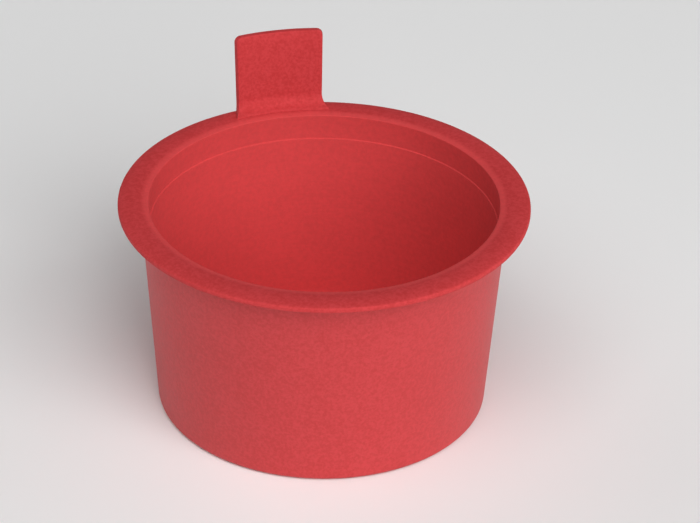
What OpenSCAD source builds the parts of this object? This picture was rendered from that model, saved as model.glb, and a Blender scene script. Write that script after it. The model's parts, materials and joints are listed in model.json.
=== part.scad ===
// Tapered pull plug: a thin-walled cup with a flat lip and one upright pull tab.
// It is moulded in one shot. Each module below is one zone of the moulding, and
// neighbouring zones meet face to face. Millimetres, +Z up, axis on Z, tab at +Y.

/* [Lip] */
// Outer diameter of the lip
lip_d = 60; // [57:0.5:80]
// Thickness of the lip
lip_t = 1.1; // [0.8:0.1:3]
// Small radius on the lip's outer edges
lip_edge = 0.3; // [0.1:0.05:0.4]

/* [Body] */
// Height from the foot to the top of the lip
plug_h = 33; // [20:0.5:60]
// Outer diameter close under the lip
top_d = 53.5; // [44:0.5:54]
// Outer diameter at the foot, before its edge is rounded
foot_d = 48.8; // [36:0.1:54]
// Radius on the outer edge of the foot
foot_edge = 0.9; // [0.3:0.1:0.9]
// Thickness of the tapered wall
wall_t = 1.2; // [1:0.1:2.5]
// Thickness of the closed end
end_t = 1.6; // [1:0.1:3]
// Radius in the corner between the wall and the closed end
end_fillet = 1.5; // [0.5:0.1:3]

/* [Mouth step] */
// Depth of the wider mouth, from the top of the lip to the step
step_depth = 4.2; // [3.5:0.1:8]
// Width of the step
step_w = 0.2; // [0.2:0.1:0.6]
// Radius that rolls the mouth's inner edge over onto the lip
mouth_roll = 0.9; // [0.3:0.1:0.9]

/* [Pull tab] */
// Width of the tab, along its curve
tab_w = 13.5; // [6:0.5:25]
// Height of the tab above the lip
tab_h = 12.2; // [10:0.2:30]
// Thickness of the tab
tab_t = 1.1; // [0.8:0.1:1.5]
// Outward lean of the tab, in degrees
tab_lean = 4; // [0:0.5:10]
// Radius on the tab's two top corners
tab_corner = 0.9; // [0.3:0.1:3]
// Height of the tab's solid root, below the part that bends
root_h = 2; // [1.6:0.1:4]
// Length of the part that bends
bend_l = 2.4; // [2:0.1:4]
// Radius of the fillet from the tab's inner face to the lip
root_fillet = 1.6; // [0.5:0.1:1.6]

/* [Hidden] */
$fn = 96;

lip_r = lip_d / 2;
top_r = top_d / 2;
foot_r = foot_d / 2;
lip_z = plug_h - lip_t;
step_z = plug_h - step_depth;
taper = atan((top_r - foot_r) / lip_z);

// Outer radius of the body, and inner radius of its tapered wall, at height z
function skin_r(z) = foot_r + z * tan(taper);
function bore_r(z) = skin_r(z) - wall_t / cos(taper);
// Points of an arc about centre c, from angle a to angle b, in n steps
function arc(c, r, a, b, n = 8) =
    [for (i = [0 : n]) c + r * [cos(a + (b - a) * i / n), sin(a + (b - a) * i / n)]];

mouth_r = bore_r(step_z) + step_w;
neck_r = skin_r(lip_z);
foot_c = [skin_r(foot_edge) - foot_edge / cos(taper), foot_edge];
corner_z = end_t + end_fillet;
corner_c = [bore_r(corner_z) - end_fillet / cos(taper), corner_z];

// The tab's outer face stands where the lip's flat top ends
tab_r = lip_r - lip_edge;
tab_angle = tab_w / tab_r * 180 / PI;
tab_in_r = tab_r - tab_t;
// The roll leaves a flat land on the mouth's wall, at least this wide
least_land = 0.1;
roll_r = min(mouth_roll, neck_r - mouth_r - least_land);
// The root's fillet ends before the mouth's edge starts to roll over
fillet_r = min(root_fillet, tab_in_r - mouth_r - roll_r);

red = [0.69, 0.13, 0.12];

// The closed end, with the rounded edge that the plug stands on
module end_wall() {
    color(red) rotate_extrude()
        polygon(concat([[0, 0]], arc(foot_c, foot_edge, -90, -taper),
            [[skin_r(end_t), end_t], [0, end_t]]));
}

// The tapered wall, from the closed end up to the step
module tapered_wall() {
    color(red) rotate_extrude()
        polygon(concat([[skin_r(end_t), end_t], [skin_r(step_z), step_z], [bore_r(step_z), step_z]],
            arc(corner_c, end_fillet, -taper, -90)));
}

// The thinner wall of the mouth, above the step, rolled over at its top
module mouth_ring() {
    color(red) rotate_extrude()
        polygon(concat([[mouth_r, step_z], [skin_r(step_z), step_z], [neck_r, lip_z], [neck_r, plug_h]],
            arc([mouth_r + roll_r, plug_h - roll_r], roll_r, 90, 180)));
}

// The flat lip round the mouth
module lip() {
    color(red) rotate_extrude()
        polygon(concat([[neck_r, plug_h], [neck_r, lip_z]],
            arc([lip_r - lip_edge, lip_z + lip_edge], lip_edge, -90, 0, 4),
            arc([lip_r - lip_edge, plug_h - lip_edge], lip_edge, 0, 90, 4)));
}

// Turns a profile into a sector of the ring, centred on +Y
module sector(angle) {
    rotate([0, 0, 90 - angle / 2]) rotate_extrude(angle = angle) children();
}

// A stretch of the tab's strip, between heights a and b above the lip
module strip(a, b) {
    lean = tan(tab_lean);
    sector(tab_angle) translate([0, plug_h]) polygon([[tab_in_r + a * lean, a],
        [tab_r + a * lean, a], [tab_r + b * lean, b], [tab_in_r + b * lean, b]]);
}

// The tab's solid root, with a fillet from its inner face onto the lip
module tab_root() {
    centre_x = fillet_r * tan(tab_lean) - fillet_r / cos(tab_lean);
    color(red) {
        strip(0, root_h);
        sector(tab_angle) translate([tab_in_r, plug_h])
            polygon(concat([[tab_t / 2, 0]], [[tab_t / 2, fillet_r]],
                arc([centre_x, fillet_r], fillet_r, -tab_lean, -90)));
    }
}

// The stretch of the tab that bends when it is pulled
module tab_bend() {
    color(red) strip(root_h, root_h + bend_l);
}

// The free part of the tab, with its two top corners rounded
module pull_tab() {
    half_w = (tab_r + tab_h * tan(tab_lean)) * sin(tab_angle / 2);
    color(red) intersection() {
        strip(root_h + bend_l, tab_h);
        translate([0, lip_d, plug_h]) rotate([90, 0, 0]) linear_extrude(lip_d)
            polygon(concat([[-half_w, 0], [half_w, 0]],
                arc([half_w - tab_corner, tab_h - tab_corner], tab_corner, 0, 90),
                arc([tab_corner - half_w, tab_h - tab_corner], tab_corner, 90, 180)));
    }
}

end_wall();
tapered_wall();
mouth_ring();
lip();
tab_root();
tab_bend();
pull_tab();
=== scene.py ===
"""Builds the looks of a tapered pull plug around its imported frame.

The plug is one moulding. Its shell is drawn as half a cross section, rounded corner by corner and
spun round the axis. Its tab is cut flat from a plate, given its root, and wrapped round the rim.
Lengths are in metres.
"""

import json
from math import atan, cos, pi, radians, sin, tan

import bpy
from mathutils import Matrix, Vector


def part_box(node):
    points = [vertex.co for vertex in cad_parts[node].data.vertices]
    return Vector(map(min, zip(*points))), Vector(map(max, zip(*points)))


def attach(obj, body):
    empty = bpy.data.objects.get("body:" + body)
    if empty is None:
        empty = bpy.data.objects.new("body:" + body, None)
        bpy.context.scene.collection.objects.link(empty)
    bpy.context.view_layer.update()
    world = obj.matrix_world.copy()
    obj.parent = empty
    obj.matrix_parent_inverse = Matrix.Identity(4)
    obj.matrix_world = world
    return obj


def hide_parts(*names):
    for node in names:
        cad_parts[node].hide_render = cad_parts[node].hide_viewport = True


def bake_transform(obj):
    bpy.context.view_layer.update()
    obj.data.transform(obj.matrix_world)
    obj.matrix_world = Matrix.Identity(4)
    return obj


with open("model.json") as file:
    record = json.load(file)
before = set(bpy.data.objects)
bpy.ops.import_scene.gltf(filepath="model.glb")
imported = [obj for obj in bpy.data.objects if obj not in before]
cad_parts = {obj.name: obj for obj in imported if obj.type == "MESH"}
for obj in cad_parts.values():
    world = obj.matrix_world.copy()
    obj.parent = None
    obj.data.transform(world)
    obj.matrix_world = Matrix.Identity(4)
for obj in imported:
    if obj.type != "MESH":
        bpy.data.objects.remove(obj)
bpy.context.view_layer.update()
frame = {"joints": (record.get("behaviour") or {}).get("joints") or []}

bl_info = {
    "name": "Tapered pull plug",
    "version": (1, 0, 0),
    "blender": (4, 5, 0),
    "location": "View3D > Sidebar > Pull plug",
    "description": "Models a moulded tapered plug with a lip and a pull tab",
    "category": "Add Mesh",
}

MM = 0.001
# Places nearer to each other than this count as one
HAIR = 0.001 * MM
# Edges that turn more sharply than this stay crisp
CREASE = radians(32)
# Edges of the tab that turn more sharply than this are rounded
TAB_CORNER = radians(50)
# Columns across the tab, of which the outer two on each side stay one
TAB_COLUMNS = 26
# Rows in the height of the tab's fillet
ROOT_ROWS = 10
# The rows of the bend start more than this above the fillet
LEAST_ROW = 0.1 * MM
# The tab's edges stay sharp up to this height, where they run into the lip
SHARP_FOOT = 0.25 * MM
FLOOR_SIZE = 2.4
SOFTBOX_DISTANCE = 2.5
SOFTBOX_SIZE = 2.1
# The pale band at the horizon starts to fade at the first of these heights and ends at the second
BAND_TOP, BAND_END = 0.06, 0.16
# Where the camera aims, beside the axis and below the lip's top
AIM_ASIDE, AIM_BELOW = 3.9 * MM, 10.7 * MM

# Sizes that the frame settles
LIP_LOW, LIP_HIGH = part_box("lip")
MOUTH_LOW, MOUTH_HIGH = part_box("mouth_ring")
WALL_LOW, WALL_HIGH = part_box("tapered_wall")
TAB_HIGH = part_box("pull_tab")[1]
BEND_LOW, BEND_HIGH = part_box("tab_bend")
END_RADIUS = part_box("end_wall")[1].x
HINGE = Vector(next(j for j in frame["joints"] if j["name"] == "tab_flex")["pos_m"])
# How far the extra rows run to both sides of the hinge, a little past the length that bends
BEND_REACH = 0.85 * (BEND_HIGH.z - BEND_LOW.z)


def length(name, description, default):
    """A length that a user can set, in metres."""
    return bpy.props.FloatProperty(
        name=name, description=description, default=default, min=0, unit="LENGTH", precision=5)


def shade(name, description, default):
    """A colour that a user can set."""
    return bpy.props.FloatVectorProperty(
        name=name, description=description, default=default, size=3, min=0, max=1, subtype="COLOR")


class PlugSizes(bpy.types.PropertyGroup):
    """Sizes of the moulded cup and its lip."""

    lip_radius: length("Lip radius", "Outer radius of the lip", LIP_HIGH.x)
    lip_top: length("Lip top", "Height of the lip's top face", LIP_HIGH.z)
    lip_under: length("Lip underside", "Height of the lip's underside", LIP_LOW.z)
    neck_radius: length("Neck radius", "Outer radius of the body, under the lip", MOUTH_HIGH.x)
    shoulder_radius: length("Shoulder radius", "Outer radius of the body beside the step", WALL_HIGH.x)
    step_height: length("Step height", "Height of the step inside the mouth", MOUTH_LOW.z)
    end_thickness: length("End thickness", "Thickness of the closed end", WALL_LOW.z)
    wall: length("Wall", "Thickness of the tapered wall", 1.2 * MM)
    step_width: length("Step width", "How far the step stands in from the mouth's wall", 0.2 * MM)
    foot_edge: length("Foot edge", "Radius on the edge that the plug stands on", 0.9 * MM)
    lip_edge_top: length("Lip's upper edge", "Radius on the lip's upper outer edge", 0.3 * MM)
    lip_slope: bpy.props.FloatProperty(
        name="Lip slope", description="Slope of the lip's crowned top beside its edges", default=radians(12),
        subtype="ANGLE")
    crown_radius: length("Crown radius", "Radius over the middle of the lip's top", 8 * MM)
    lip_edge_under: length("Lip's lower edge", "Radius on the lip's lower outer edge", 0.25 * MM)
    neck_fillet: length("Neck fillet", "Radius in the corner under the lip", 0.35 * MM)
    mouth_roll: length("Mouth roll", "Radius that rolls the lip over into the mouth", 0.15 * MM)
    step_rise: length("Step rise", "How far the step slopes up to the mouth's wall", 0.03 * MM)
    step_fillet: length("Step fillet", "Radius in the corner above the step", 0.06 * MM)
    step_edge: length("Step edge", "Radius on the step's own edge", 0.08 * MM)
    gate_nub: length("Gate nub", "Height of the gate mark in its dish", 0.22 * MM)
    pin_radius: length("Pin radius", "Radius of the round mark on the inner floor", 4.5 * MM)
    pin_rise: length("Pin rise", "Height of the round mark on the inner floor", 0.08 * MM)
    inner_fillet: length("Inner fillet", "Radius between the inner wall and the closed end", 1.5 * MM)
    gate_radius: length("Gate radius", "Radius of the shallow dish round the gate mark", 3.2 * MM)
    gate_depth: length("Gate depth", "Depth of the dish under the closed end", 0.4 * MM)
    steps: bpy.props.IntProperty(
        name="Steps", description="Number of steps round the axis", default=240, min=24, max=400)


class TabSizes(bpy.types.PropertyGroup):
    """Sizes of the pull tab."""

    width: length("Width", "Width of the tab along the rim", 13.5 * MM)
    top: length("Top", "Height of the tab's top edge", TAB_HIGH.z)
    thickness: length("Thickness", "Thickness of the tab", 1.1 * MM)
    face_radius: length("Face radius", "Radius of the tab's outer face at the lip", LIP_HIGH.x - 0.3 * MM)
    lean: bpy.props.FloatProperty(
        name="Lean", description="Outward lean of the tab", default=radians(4), subtype="ANGLE")
    corner: length("Corner", "Radius on the two top corners", 0.95 * MM)
    edge: length("Edge", "Radius along the tab's edges", 0.16 * MM)
    root: length("Root", "Height and reach of the fillet onto the lip", 1.7 * MM)
    flare: length("Flare", "How far the fillet's foot runs out past each side", 1.3 * MM)
    sink: length("Sink", "How far the tab runs down into the lip", 0.3 * MM)


class PlasticLook(bpy.types.PropertyGroup):
    """Colours and finish of the moulded plastic."""

    red: shade("Red", "Colour of the frosted outside", (0.50, 0.024, 0.026))
    pale_red: shade("Pale red", "Colour of the outside's frost", (0.58, 0.038, 0.043))
    # The two inner reds are lighter than the outside's reds: painted light that stands in for light reaching
    # into the cup, with a random mottle between them
    painted_lit_inner_red: shade("Inner red", "Colour of the smooth inside", (0.60, 0.045, 0.047))
    pale_painted_lit_inner_red: shade("Pale inner red", "Colour of the inside's bloom", (0.67, 0.050, 0.053))
    roughness: bpy.props.FloatProperty(
        name="Roughness", description="Roughness of the body's satin outside", default=0.50, min=0, max=1)
    matte: bpy.props.FloatProperty(
        name="Matte", description="Roughness of the lip, the tab and the inside", default=0.85, min=0, max=1)
    grain: length("Grain", "Size of the grain that the mould leaves", 0.42 * MM)


class StageSettings(bpy.types.PropertyGroup):
    """The floor, the lights and the camera."""

    floor: shade("Floor", "Colour of the floor", (0.92, 0.92, 0.92))
    backdrop: bpy.props.FloatProperty(
        name="Backdrop", description="Strength of the pale band at the horizon", default=0.85)
    key: bpy.props.FloatProperty(name="Key light", description="Power in watts", default=50.0)
    front: bpy.props.FloatProperty(name="Front light", description="Power in watts", default=30.0)
    right_rim: bpy.props.FloatProperty(name="Right rim light", description="Power in watts", default=12.0)
    left_rim: bpy.props.FloatProperty(name="Left rim light", description="Power in watts", default=10.0)
    azimuth: bpy.props.FloatProperty(
        name="Azimuth", description="Side that the camera stands on", default=radians(-14.85),
        subtype="ANGLE")
    elevation: bpy.props.FloatProperty(
        name="Elevation", description="Height of the camera above the horizon", default=radians(31.13),
        subtype="ANGLE")
    roll: bpy.props.FloatProperty(
        name="Roll", description="Tilt of the camera about its own axis", default=radians(1.2),
        subtype="ANGLE")
    distance: length("Distance", "From the camera to the point it looks at", 480 * MM)
    lens: bpy.props.FloatProperty(name="Lens", description="Focal length in millimetres", default=168.0)


# Selecting and shaping, as by hand


def deselect_all():
    """Leaves object mode with nothing selected."""
    if bpy.context.mode != "OBJECT":
        bpy.ops.object.mode_set(mode="OBJECT")
    bpy.ops.object.select_all(action="DESELECT")


def edit(piece, kind="VERT"):
    """Opens a piece in edit mode with nothing selected."""
    deselect_all()
    piece.select_set(True)
    bpy.context.view_layer.objects.active = piece
    bpy.ops.object.mode_set(mode="EDIT")
    bpy.ops.mesh.select_mode(type=kind)
    bpy.ops.mesh.select_all(action="DESELECT")


def pick(piece, test):
    """Selects the vertices whose place passes a test, in edit mode."""
    bpy.ops.object.mode_set(mode="OBJECT")
    chosen = [v for v in piece.data.vertices if test(v.co)]
    for v in chosen:
        v.select = True
    bpy.ops.object.mode_set(mode="EDIT")
    if not chosen:
        raise RuntimeError(f"{piece.name}: nothing to select")


def pick_edges(piece, test):
    """Selects the edges whose two ends pass a test, in edit mode."""
    bpy.ops.object.mode_set(mode="OBJECT")
    points = piece.data.vertices
    chosen = [e for e in piece.data.edges if test(*(points[i].co for i in e.vertices))]
    for e in chosen:
        e.select = True
    bpy.ops.object.mode_set(mode="EDIT")
    if not chosen:
        raise RuntimeError(f"{piece.name}: no edge to select")


def draw_outline(name, points):
    """A chain of edges through points given as radius and height, on the +X side of the axis."""
    deselect_all()
    first = Vector((points[0][0], 0, points[0][1]))
    bpy.ops.mesh.primitive_plane_add(size=MM, location=first)
    piece = bpy.context.active_object
    piece.name = piece.data.name = name
    bpy.ops.object.transform_apply(location=True, rotation=True, scale=True)
    bpy.ops.object.mode_set(mode="EDIT")
    bpy.ops.mesh.select_mode(type="VERT")
    bpy.ops.mesh.select_all(action="SELECT")
    bpy.ops.mesh.merge(type="CENTER")
    for (r0, z0), (r1, z1) in zip(points, points[1:]):
        bpy.ops.mesh.extrude_vertices_move(
            TRANSFORM_OT_translate={"value": (r1 - r0, 0, z1 - z0)})
    return piece


def round_corner(piece, corner, radius, segments):
    """Rounds one corner of a drawn outline."""
    place = Vector((corner[0], 0, corner[1]))
    bpy.ops.mesh.select_all(action="DESELECT")
    pick(piece, lambda co: (co - place).length < HAIR)
    before, after = edge_directions(piece, place)
    half_turn = before.angle(after) / 2
    bpy.ops.mesh.bevel(offset_type="OFFSET", offset=radius / tan(half_turn), segments=segments,
                       profile=0.5, affect="VERTICES", clamp_overlap=True)


def edge_directions(piece, place):
    """Directions of the two edges that leave an outline's corner."""
    bpy.ops.object.mode_set(mode="OBJECT")
    points = piece.data.vertices
    found = []
    for e in piece.data.edges:
        a, b = (points[i].co for i in e.vertices)
        if (a - place).length < HAIR:
            found.append((b - a).normalized())
        elif (b - place).length < HAIR:
            found.append((a - b).normalized())
    bpy.ops.object.mode_set(mode="EDIT")
    return found


def close_up(piece):
    """Merges doubles, turns the faces outwards and smooths all but the creases."""
    edit(piece)
    bpy.ops.mesh.select_all(action="SELECT")
    bpy.ops.mesh.remove_doubles(threshold=HAIR)
    bpy.ops.mesh.normals_make_consistent(inside=False)
    deselect_all()
    piece.select_set(True)
    bpy.context.view_layer.objects.active = piece
    bpy.ops.object.shade_smooth_by_angle(angle=CREASE)


# The plastic


class Sock:
    """A node's output that can be used in sums."""

    def __init__(self, nodes, socket):
        self.nodes, self.socket = nodes, socket

    def _math(self, operation, a, b=None):
        values = {0: a} if b is None else {0: a, 1: b}
        return self.nodes.add("ShaderNodeMath", values, operation=operation)

    def __add__(self, other):
        return self._math("ADD", self, other)

    def __sub__(self, other):
        return self._math("SUBTRACT", self, other)

    def __rsub__(self, other):
        return self._math("SUBTRACT", other, self)

    def __mul__(self, other):
        return self._math("MULTIPLY", self, other)

    def __gt__(self, other):
        return self._math("GREATER_THAN", self, other)

    __radd__, __rmul__ = __add__, __mul__


class Nodes:
    """The node tree of a material or of the world."""

    def __init__(self, owner, shader):
        owner.use_nodes = True
        self.tree = owner.node_tree
        self.shader = self.tree.nodes[shader]

    def add(self, kind, values=None, out=0, **settings):
        """Adds a node, sets it up, fills its sockets with values or links, and returns one output."""
        node = self.tree.nodes.new(kind)
        for key, value in settings.items():
            setattr(node, key, value)
        for key, value in (values or {}).items():
            self.put(node.inputs[key], value)
        return Sock(self, node.outputs[out])

    def put(self, socket, value):
        """Links an output to a socket, or sets the socket's own value."""
        if isinstance(value, Sock):
            self.tree.links.new(value.socket, socket)
        else:
            socket.default_value = value

    def finish(self, **values):
        """Fills the shader's own sockets, named with _ for a space."""
        for key, value in values.items():
            self.put(self.shader.inputs[key.replace("_", " ")], value)

    def noise(self, place, size, detail=2.0, rough=0.5):
        """Soft noise of a given size in metres, from 0 to 1."""
        return self.add("ShaderNodeTexNoise", {
            "Vector": place, "Scale": 1 / size, "Detail": detail, "Roughness": rough})

    def mix(self, factor, a, b):
        """A colour between a and b."""
        return self.add("ShaderNodeMix", {0: factor, 6: a, 7: b}, out=2, data_type="RGBA")

    def ramp(self, value, low, high):
        """0 at low, 1 at high and a straight line between, held past both ends."""
        return self.add("ShaderNodeMapRange", {"Value": value, "From Min": low, "From Max": high})


def moulded_plastic(look, sizes):
    """Satin soft plastic: a frosted mould grain outside, and smoother with faint rings inside. The inside is
    painted a lighter red than the outside: painted light that stands in for light reaching into the cup.
    """
    material = bpy.data.materials.new("moulded_plastic")
    n = Nodes(material, "Principled BSDF")
    place = n.add("ShaderNodeTexCoord", out="Object")
    grain = n.noise(place, look.grain, detail=3.0, rough=0.65)
    mottle = n.noise(place, look.grain * 1.8, detail=3.0, rough=0.55)
    cloud = n.noise(place, look.grain * 18, detail=3.0)
    flat = n.add("ShaderNodeMapping", {"Vector": place, "Scale": (0.05, 0.05, 1)})
    rings = n.noise(flat, look.grain, detail=3.0, rough=0.6)

    x, y, z = (n.add("ShaderNodeSeparateXYZ", {0: place}, out=axis) for axis in range(3))
    radius = n.add("ShaderNodeMath", {0: x * x + y * y}, operation="SQRT")
    skin = sizes.shoulder_radius + (z - sizes.step_height) * wall_slope(sizes)
    inside = n.ramp(skin - radius, 0.1 * sizes.wall, 0.6 * sizes.wall) * (z > 0.6 * sizes.end_thickness)
    body = (1 - inside) * (1 - n.ramp(z, sizes.lip_under - sizes.neck_fillet, sizes.lip_under))

    frosted = grain * 0.6 + mottle * 0.3 + cloud * 0.1
    smooth = grain * 0.35 + mottle * 0.35 + rings * 0.15 + cloud * 0.15
    outer = n.mix(n.ramp(frosted, 0.42, 0.58), (*look.red, 1), (*look.pale_red, 1))
    # The inner colour is lighter than the outer one: painted light for the inside of the cup, mottled at
    # random
    inner = n.mix(n.ramp(smooth, 0.42, 0.58), (*look.painted_lit_inner_red, 1), (*look.pale_painted_lit_inner_red, 1))
    height = (grain * 0.75 + mottle * 0.25) * (1 - 0.6 * inside) + rings * inside * 0.1
    n.finish(
        Base_Color=n.mix(inside, outer, inner),
        Roughness=look.matte + (look.roughness - look.matte) * body + (grain - 0.5) * 0.2,
        Normal=n.add("ShaderNodeBump", {"Height": height, "Strength": 0.7, "Distance": 0.06 * MM}),
        IOR=1.5)
    return material


def plastic():
    """The plug's plastic, made once."""
    scene = bpy.context.scene
    return bpy.data.materials.get("moulded_plastic") or moulded_plastic(scene.plastic_look, scene.plug_sizes)


# The pieces


def wall_slope(sizes):
    """How fast the body widens with height."""
    return (sizes.shoulder_radius - END_RADIUS) / (sizes.step_height - sizes.end_thickness)


class PLUG_OT_shell(bpy.types.Operator):
    """Model the cup and its lip: half a cross section, rounded and spun round the axis"""

    bl_idname = "plug.shell"
    bl_label = "Plug shell"

    def execute(self, context):
        s = context.scene.plug_sizes
        slope = wall_slope(s)

        def skin(z):
            return s.shoulder_radius + (z - s.step_height) * slope

        def bore(z):
            return skin(z) - s.wall / cos(atan(slope))

        mouth = bore(s.step_height) + s.step_width

        # The gate mark is a quarter as wide as the dish round it, and both have sloping sides
        nub, dish = 0.25 * s.gate_radius, s.gate_radius
        foot = (skin(0), 0)
        neck = (s.neck_radius, s.lip_under)
        middle = (s.lip_radius + mouth) / 2
        peak = s.lip_top + s.crown_radius * (1 / cos(s.lip_slope) - 1)
        shoulder = peak - (s.lip_radius - middle) * tan(s.lip_slope)
        lip_low, lip_high = (s.lip_radius, s.lip_under), (s.lip_radius, shoulder)
        crown, rim = (middle, peak), (mouth, shoulder)
        step_in = (mouth, s.step_height + s.step_rise / 2)
        step_out = (bore(s.step_height), s.step_height - s.step_rise / 2)
        corner = (bore(s.end_thickness), s.end_thickness)
        nub_z, pin_z = s.gate_depth - s.gate_nub, s.end_thickness + s.pin_rise
        outline = [
            (0, nub_z), (nub, nub_z), (1.1 * nub, s.gate_depth), (0.9 * dish, s.gate_depth), (dish, 0),
            foot, neck, lip_low, lip_high, crown, rim, step_in, step_out, corner,
            (s.pin_radius + s.pin_rise, s.end_thickness), (s.pin_radius, pin_z), (0, pin_z)]
        shell = draw_outline("plug_shell", outline)
        for place, radius, segments in (
            (foot, s.foot_edge, 8), (neck, s.neck_fillet, 4), (lip_low, s.lip_edge_under, 3),
            (lip_high, s.lip_edge_top, 5), (crown, s.crown_radius, 8), (rim, s.mouth_roll, 9),
            (step_in, s.step_fillet, 3), (step_out, s.step_edge, 4), (corner, s.inner_fillet, 7),
        ):
            round_corner(shell, place, radius, segments)
        bpy.ops.mesh.select_all(action="SELECT")
        bpy.ops.mesh.spin(steps=s.steps, angle=2 * pi, center=(0, 0, 0), axis=(0, 0, 1))
        close_up(shell)
        shell.data.materials.append(plastic())
        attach(shell, "plug")
        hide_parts("end_wall", "tapered_wall", "mouth_ring", "lip")
        return {"FINISHED"}


class PLUG_OT_tab(bpy.types.Operator):
    """Model the pull tab: a flat plate with its root drawn out, wrapped round the rim"""

    bl_idname = "plug.tab"
    bl_label = "Pull tab"

    def execute(self, context):
        t = context.scene.tab_sizes
        base = context.scene.plug_sizes.lip_top
        low = base - t.sink
        # Leaning lifts the inner top edge, so the plate is cut a little short
        top = base + (t.top - base - t.thickness * sin(t.lean)) / cos(t.lean)
        deselect_all()
        bpy.ops.mesh.primitive_cube_add(size=1, location=(0, -t.thickness / 2, (low + top) / 2))
        tab = bpy.context.active_object
        tab.name = tab.data.name = "pull_tab_skin"
        tab.scale = (t.width, t.thickness, top - low)
        bpy.ops.object.transform_apply(location=True, rotation=True, scale=True)

        self.round_top(tab, t, top)
        rows = self.cut_rows(tab, t, base, top)
        self.draw_root(tab, t, base, rows)
        self.lean(tab, t, base)
        self.round_edges(tab, t, base)
        self.wrap(tab, t)
        close_up(tab)
        tab.data.materials.append(plastic())
        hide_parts("tab_root", "tab_bend", "pull_tab")
        self.bend(tab)
        return {"FINISHED"}

    def round_top(self, tab, t, top):
        """Rounds the two top corners."""
        edit(tab, "EDGE")
        pick_edges(tab, lambda a, b: min(a.z, b.z) > top - 10 * HAIR and abs(a.x - b.x) < 10 * HAIR)
        bpy.ops.mesh.bevel(offset=t.corner, segments=7, affect="EDGES")

    def cut_rows(self, tab, t, base, top):
        """Cuts level rows, close together in the root, and upright columns for the wrap."""
        root_rows = [base + t.root * (1 - cos(i / ROOT_ROWS * pi / 2)) for i in range(ROOT_ROWS + 1)]
        curl = [HINGE.z + BEND_REACH * (i / 6 - 1) for i in range(13)]
        upper = [z for z in curl if z > root_rows[-1] + LEAST_ROW]
        upper += [curl[-1] + (top - t.corner - curl[-1]) * i / 4 for i in range(1, 4)]
        columns = [t.width * (i / TAB_COLUMNS - 0.5) for i in range(2, TAB_COLUMNS - 1)]
        edit(tab, "EDGE")
        for co, no in [((0, 0, z), (0, 0, 1)) for z in root_rows + upper] + [
                ((x, 0, 0), (1, 0, 0)) for x in columns]:
            bpy.ops.mesh.select_all(action="SELECT")
            bpy.ops.mesh.bisect(plane_co=co, plane_no=no, threshold=0.1 * HAIR)
        return root_rows

    def draw_root(self, tab, t, base, rows):
        """Draws the inner face out into a fillet, row by row, and runs it out past both sides."""
        edit(tab)
        for z in rows + [base - t.sink]:
            rise = min(max((z - base) / t.root, 0), 1)
            out = 1 - (1 - (1 - rise) ** 2) ** 0.5
            if t.root * out < HAIR:
                continue
            bpy.ops.mesh.select_all(action="DESELECT")
            pick(tab, lambda co: abs(co.z - z) < 2 * HAIR and co.y < 10 * HAIR - t.thickness)
            bpy.ops.transform.resize(
                value=(1 + 2 * t.flare * out / t.width, 1, 1), center_override=(0, 0, z),
                orient_type="GLOBAL")
            bpy.ops.transform.translate(value=(0, -t.root * out, 0), orient_type="GLOBAL")

    def lean(self, tab, t, base):
        """Leans the tab outwards above the lip."""
        edit(tab)
        pick(tab, lambda co: co.z > base + HAIR)
        bpy.ops.transform.rotate(
            value=t.lean, orient_axis="X", orient_type="GLOBAL", center_override=(0, 0, base))

    def round_edges(self, tab, t, base):
        """Takes the sharpness off the tab's edges."""
        edit(tab, "EDGE")
        bpy.ops.mesh.edges_select_sharp(sharpness=TAB_CORNER)
        bpy.ops.object.mode_set(mode="OBJECT")
        points = tab.data.vertices
        for e in tab.data.edges:
            if min(points[i].co.z for i in e.vertices) < base + SHARP_FOOT:
                e.select = False
        bpy.ops.object.mode_set(mode="EDIT")
        bpy.ops.mesh.bevel(offset=t.edge, segments=3, affect="EDGES", clamp_overlap=True)

    def wrap(self, tab, t):
        """Wraps the flat tab round the rim."""
        deselect_all()
        tab.select_set(True)
        bpy.context.view_layer.objects.active = tab
        across = tab.dimensions.x
        wrap = tab.modifiers.new("wrap", "SIMPLE_DEFORM")
        wrap.deform_method = "BEND"
        wrap.deform_axis = "Z"
        wrap.angle = -across / t.face_radius
        bpy.ops.object.modifier_apply(modifier=wrap.name)
        tab.location.y = t.face_radius
        bpy.ops.object.transform_apply(location=True, rotation=True, scale=True)

    def bend(self, tab):
        """Bakes the tab's placing into its mesh."""
        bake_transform(tab)


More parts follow.
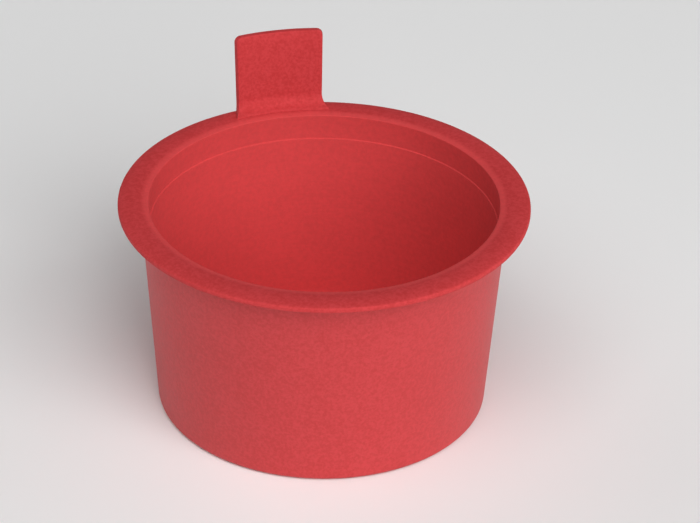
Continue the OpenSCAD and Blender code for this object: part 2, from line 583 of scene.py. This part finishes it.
class PLUG_OT_stage(bpy.types.Operator):
    """Set the floor, the soft lights and the camera"""

    bl_idname = "plug.stage"
    bl_label = "Stage"

    def execute(self, context):
        g = context.scene.stage_settings
        self.floor(g)
        self.surround(g)
        self.camera(g)
        for name, azimuth, elevation, power in (
            ("key_light", 33, 35, g.key), ("front_light", -15, 58, g.front),
            ("right_rim_light", 100, 9, g.right_rim), ("left_rim_light", -112, 20, g.left_rim),
        ):
            self.softbox(name, g.azimuth + radians(azimuth), radians(elevation), power)
        context.scene.view_settings.view_transform = "Standard"
        return {"FINISHED"}

    def floor(self, g):
        """A pale matt floor."""
        deselect_all()
        bpy.ops.mesh.primitive_plane_add(size=FLOOR_SIZE, location=(0, 0, 0))
        floor = bpy.context.active_object
        floor.name = floor.data.name = "floor"
        material = bpy.data.materials.new("pale_floor")
        Nodes(material, "Principled BSDF").finish(Base_Color=(*g.floor, 1), Roughness=0.9)
        floor.data.materials.append(material)

    def surround(self, g):
        """A pale band round the horizon, dark above, so that the softboxes do the lighting."""
        world = bpy.data.worlds.new("surround")
        n = Nodes(world, "Background")
        toward = n.add("ShaderNodeTexCoord", out="Generated")
        rise = n.add("ShaderNodeSeparateXYZ", {0: toward}, out="Z")
        n.finish(Color=(1, 1, 1, 1), Strength=g.backdrop * (1 - n.ramp(rise, BAND_TOP, BAND_END)))
        bpy.context.scene.world = world

    def camera(self, g):
        """The camera, aimed a little beside the axis and below the lip."""
        turn = Matrix.Rotation(g.azimuth, 3, "Z")
        aim = turn @ Vector((AIM_ASIDE, 0, 0)) + Vector((0, 0, LIP_HIGH.z - AIM_BELOW))
        away = turn @ Vector((0, -cos(g.elevation), sin(g.elevation)))
        bpy.ops.object.camera_add(location=aim + away * g.distance)
        camera = bpy.context.active_object
        camera.rotation_mode = "QUATERNION"
        camera.rotation_quaternion = (
            (-away).to_track_quat("-Z", "Y") @ Matrix.Rotation(g.roll, 3, "Z").to_quaternion())
        camera.data.lens = g.lens
        camera.data.sensor_width = 36
        camera.data.clip_start = 0.01
        bpy.context.scene.camera = camera

    def softbox(self, name, azimuth, elevation, power):
        """A square softbox, far enough off to light the whole floor evenly."""
        away = Vector((sin(azimuth) * cos(elevation), -cos(azimuth) * cos(elevation), sin(elevation)))
        bpy.ops.object.light_add(type="AREA", location=away * SOFTBOX_DISTANCE)
        lamp = bpy.context.active_object
        lamp.name = lamp.data.name = name
        lamp.rotation_mode = "QUATERNION"
        lamp.rotation_quaternion = (-away).to_track_quat("-Z", "Y")
        lamp.data.shape = "SQUARE"
        lamp.data.size = SOFTBOX_SIZE
        lamp.data.energy = power
        lamp.visible_camera = False


class PLUG_PT_panel(bpy.types.Panel):
    """The plug's pieces and settings."""

    bl_label = "Pull plug"
    bl_space_type = "VIEW_3D"
    bl_region_type = "UI"
    bl_category = "Pull plug"

    def draw(self, context):
        for operator in OPERATORS:
            self.layout.operator(operator.bl_idname)
        for name in GROUPS:
            box = self.layout.box()
            group = getattr(context.scene, name)
            for key in group.__annotations__:
                box.prop(group, key)


OPERATORS = (PLUG_OT_stage, PLUG_OT_shell, PLUG_OT_tab)
GROUPS = {
    "plug_sizes": PlugSizes,
    "tab_sizes": TabSizes,
    "plastic_look": PlasticLook,
    "stage_settings": StageSettings,
}
CLASSES = (*GROUPS.values(), *OPERATORS, PLUG_PT_panel)


def register():
    for cls in CLASSES:
        bpy.utils.register_class(cls)
    for name, group in GROUPS.items():
        setattr(bpy.types.Scene, name, bpy.props.PointerProperty(type=group))


def unregister():
    for name in GROUPS:
        delattr(bpy.types.Scene, name)
    for cls in reversed(CLASSES):
        bpy.utils.unregister_class(cls)


def main():
    """Builds everything."""
    register()
    bpy.ops.plug.stage()
    bpy.ops.plug.shell()
    bpy.ops.plug.tab()
    deselect_all()


if __name__ == "__main__":
    main()
